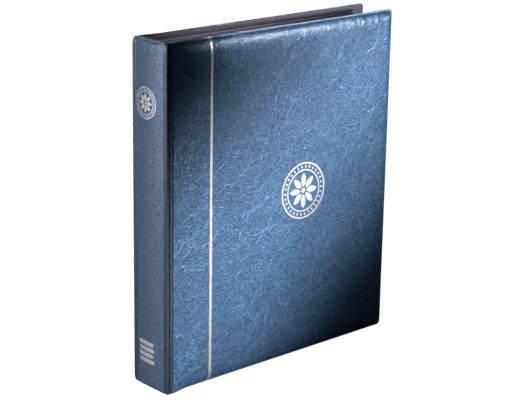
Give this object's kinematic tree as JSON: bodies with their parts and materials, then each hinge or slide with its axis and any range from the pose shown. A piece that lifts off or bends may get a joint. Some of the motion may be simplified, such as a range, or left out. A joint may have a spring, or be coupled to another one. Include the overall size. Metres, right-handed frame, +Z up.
{
  "type": "coin album",
  "caption": "Padded ring-bound coin album with hinged covers, foil-stamped front and spine, a lever-operated ring mechanism, clear pocket sheets and card interleaves.",
  "frame": {"origin": "centre of the footprint of the closed album standing on its bottom edge", "axes": "+Z up along the spine, -X towards the spine's face, -Y towards the front cover's face"},
  "size_m": [0.235, 0.042, 0.27],
  "materials": {
    "greyboard": "raw grey pasteboard",
    "foam": "open-cell foam",
    "cover_leatherette": "grained, semi-gloss imitation leather",
    "spine_leatherette": "grained, semi-gloss imitation leather",
    "hinge_leatherette": "welded, fine grained",
    "lining": "fine grained film",
    "silver_foil": "hot-stamped silver foil",
    "nickel_plate": "nickel plated sheet steel",
    "rivet_steel": "plated",
    "blade_steel": "zinc plated",
    "ring_wire": "nickel plated round wire",
    "clear_film": "clear flexible film",
    "interleaf_card": "matt dark card"
  },
  "bodies": {
    "spine": {"spine_board": "greyboard", "spine_foam_pad": "foam", "spine_skin": "spine_leatherette", "spine_lining": "lining", "spine_emblem": "silver_foil", "spine_foot_mark": "silver_foil", "front_hinge_band": "hinge_leatherette", "back_hinge_band": "hinge_leatherette", "mechanism_plate": "nickel_plate", "mechanism_rivets": "rivet_steel", "top_lever_pin": "rivet_steel", "bottom_lever_pin": "rivet_steel"},
    "front_cover": {"front_board": "greyboard", "front_foam_pad": "foam", "front_skin": "cover_leatherette", "front_lining": "lining", "front_foil_stripe": "silver_foil", "front_emblem": "silver_foil"},
    "back_cover": {"back_board": "greyboard", "back_foam_pad": "foam", "back_skin": "cover_leatherette", "back_lining": "lining"},
    "front_rings": {"front_blade": "blade_steel", "ring_1_front_half": "ring_wire", "ring_2_front_half": "ring_wire", "ring_3_front_half": "ring_wire", "ring_4_front_half": "ring_wire"},
    "back_rings": {"back_blade": "blade_steel", "ring_1_back_half": "ring_wire", "ring_2_back_half": "ring_wire", "ring_3_back_half": "ring_wire", "ring_4_back_half": "ring_wire"},
    "top_lever_arm": {"top_lever": "nickel_plate"},
    "bottom_lever_arm": {"bottom_lever": "nickel_plate"},
    "leaf_coin_sheet_1": {"coin_sheet_1": "clear_film"},
    "leaf_interleaf_1": {"interleaf_1": "interleaf_card"},
    "leaf_coin_sheet_2": {"coin_sheet_2": "clear_film"},
    "leaf_interleaf_2": {"interleaf_2": "interleaf_card"},
    "leaf_coin_sheet_3": {"coin_sheet_3": "clear_film"},
    "leaf_interleaf_3": {"interleaf_3": "interleaf_card"},
    "leaf_coin_sheet_4": {"coin_sheet_4": "clear_film"},
    "leaf_interleaf_4": {"interleaf_4": "interleaf_card"},
    "leaf_coin_sheet_5": {"coin_sheet_5": "clear_film"}
  },
  "joints": [
    {"name": "front_cover_open", "type": "hinge", "parent": "spine", "child": "front_cover", "pos_m": [-0.115, -0.0185, 0.135], "axis": [0, 0, -1], "range_deg": [0, 100]},
    {"name": "back_cover_open", "type": "hinge", "parent": "spine", "child": "back_cover", "pos_m": [-0.115, 0.0185, 0.135], "axis": [0, 0, 1], "range_deg": [0, 100]},
    {"name": "rings_open", "type": "hinge", "parent": "spine", "child": "front_rings", "pos_m": [-0.1105, -0.008, 0.135], "axis": [0, 0, -1], "range_deg": [0, 12]},
    {"name": "back_rings_follow", "type": "hinge", "parent": "spine", "child": "back_rings", "pos_m": [-0.1105, 0.008, 0.135], "axis": [0, 0, 1], "range_deg": [0, 12]},
    {"name": "top_lever_rock", "type": "hinge", "parent": "spine", "child": "top_lever_arm", "pos_m": [-0.1096, 0, 0.2525], "axis": [0, -1, 0], "range_deg": [0, 24]},
    {"name": "bottom_lever_rock", "type": "hinge", "parent": "spine", "child": "bottom_lever_arm", "pos_m": [-0.1096, 0, 0.0175], "axis": [0, 1, 0], "range_deg": [0, 24]},
    {"name": "coin_sheet_1_turn", "type": "hinge", "parent": "spine", "child": "leaf_coin_sheet_1", "pos_m": [-0.1015, 0, 0.135], "axis": [0, 0, -1], "range_deg": [0, 90]},
    {"name": "interleaf_1_turn", "type": "hinge", "parent": "spine", "child": "leaf_interleaf_1", "pos_m": [-0.1015, 0, 0.135], "axis": [0, 0, -1], "range_deg": [0, 87]},
    {"name": "coin_sheet_2_turn", "type": "hinge", "parent": "spine", "child": "leaf_coin_sheet_2", "pos_m": [-0.1015, 0, 0.135], "axis": [0, 0, -1], "range_deg": [0, 84]},
    {"name": "interleaf_2_turn", "type": "hinge", "parent": "spine", "child": "leaf_interleaf_2", "pos_m": [-0.1015, 0, 0.135], "axis": [0, 0, -1], "range_deg": [0, 81]},
    {"name": "coin_sheet_3_turn", "type": "hinge", "parent": "spine", "child": "leaf_coin_sheet_3", "pos_m": [-0.1015, 0, 0.135], "axis": [0, 0, -1], "range_deg": [0, 78]},
    {"name": "interleaf_3_turn", "type": "hinge", "parent": "spine", "child": "leaf_interleaf_3", "pos_m": [-0.1015, 0, 0.135], "axis": [0, 0, 1], "range_deg": [0, 81]},
    {"name": "coin_sheet_4_turn", "type": "hinge", "parent": "spine", "child": "leaf_coin_sheet_4", "pos_m": [-0.1015, 0, 0.135], "axis": [0, 0, 1], "range_deg": [0, 84]},
    {"name": "interleaf_4_turn", "type": "hinge", "parent": "spine", "child": "leaf_interleaf_4", "pos_m": [-0.1015, 0, 0.135], "axis": [0, 0, 1], "range_deg": [0, 87]},
    {"name": "coin_sheet_5_turn", "type": "hinge", "parent": "spine", "child": "leaf_coin_sheet_5", "pos_m": [-0.1015, 0, 0.135], "axis": [0, 0, 1], "range_deg": [0, 90]}
  ],
  "couplings": [
    {"joint": "back_rings_follow", "follows": "rings_open", "ratio": 1},
    {"joint": "top_lever_rock", "follows": "rings_open", "ratio": 2},
    {"joint": "bottom_lever_rock", "follows": "rings_open", "ratio": 2},
    {"joint": "coin_sheet_1_turn", "follows": "front_cover_open", "ratio": 0.9},
    {"joint": "interleaf_1_turn", "follows": "front_cover_open", "ratio": 0.87},
    {"joint": "coin_sheet_2_turn", "follows": "front_cover_open", "ratio": 0.84},
    {"joint": "interleaf_2_turn", "follows": "front_cover_open", "ratio": 0.81},
    {"joint": "coin_sheet_3_turn", "follows": "front_cover_open", "ratio": 0.78},
    {"joint": "interleaf_3_turn", "follows": "back_cover_open", "ratio": 0.81},
    {"joint": "coin_sheet_4_turn", "follows": "back_cover_open", "ratio": 0.84},
    {"joint": "interleaf_4_turn", "follows": "back_cover_open", "ratio": 0.87},
    {"joint": "coin_sheet_5_turn", "follows": "back_cover_open", "ratio": 0.9}
  ]
}
